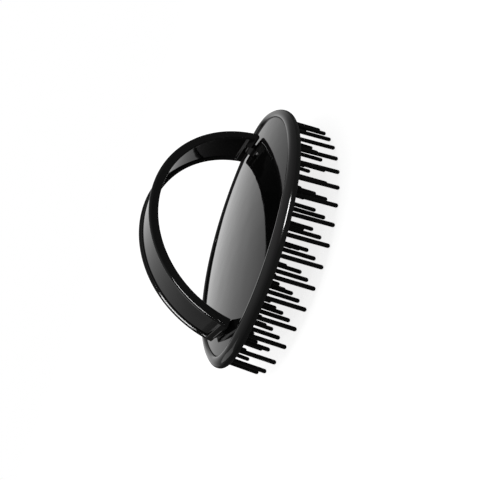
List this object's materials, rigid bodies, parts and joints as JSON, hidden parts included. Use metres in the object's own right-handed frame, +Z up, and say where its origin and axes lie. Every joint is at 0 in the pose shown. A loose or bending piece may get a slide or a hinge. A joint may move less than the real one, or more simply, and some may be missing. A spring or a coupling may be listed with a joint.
{
  "type": "palm massage hairbrush with arched hand loop",
  "caption": "Oval black palm massage brush with a glossy crowned back, a satin rim, rings of round-tipped pins and a hinged arched hand loop.",
  "frame": {"origin": "on the floor under the middle of the oval body, where the lowest pin tips rest", "axes": "+Z up through the back, with the pins pointing down; +X along the oval's long axis towards the hinge of the hand loop; +Y across the body"},
  "size_m": [0.1132, 0.084, 0.0578],
  "materials": {
    "gloss_black": "polished black plastic",
    "satin_black": "satin black plastic",
    "pin_black": "satin black plastic, slightly flexible",
    "steel": "bright drawn steel"
  },
  "bodies": {
    "body": {"rim_frame": "satin_black", "back_cover": "gloss_black", "pin_bed": "satin_black", "pins_ring_1": "pin_black", "pins_ring_2": "pin_black", "pins_ring_3": "pin_black", "pins_ring_4": "pin_black", "pins_ring_5": "pin_black", "pins_middle_row": "pin_black", "hinge_pin": "steel"},
    "handle": {"handle": "gloss_black"}
  },
  "joints": [
    {"name": "handle_hinge", "type": "hinge", "parent": "body", "child": "handle", "pos_m": [0.0393, 0, 0.02259], "axis": [0, 1, 0], "range_deg": [0, 110]}
  ]
}
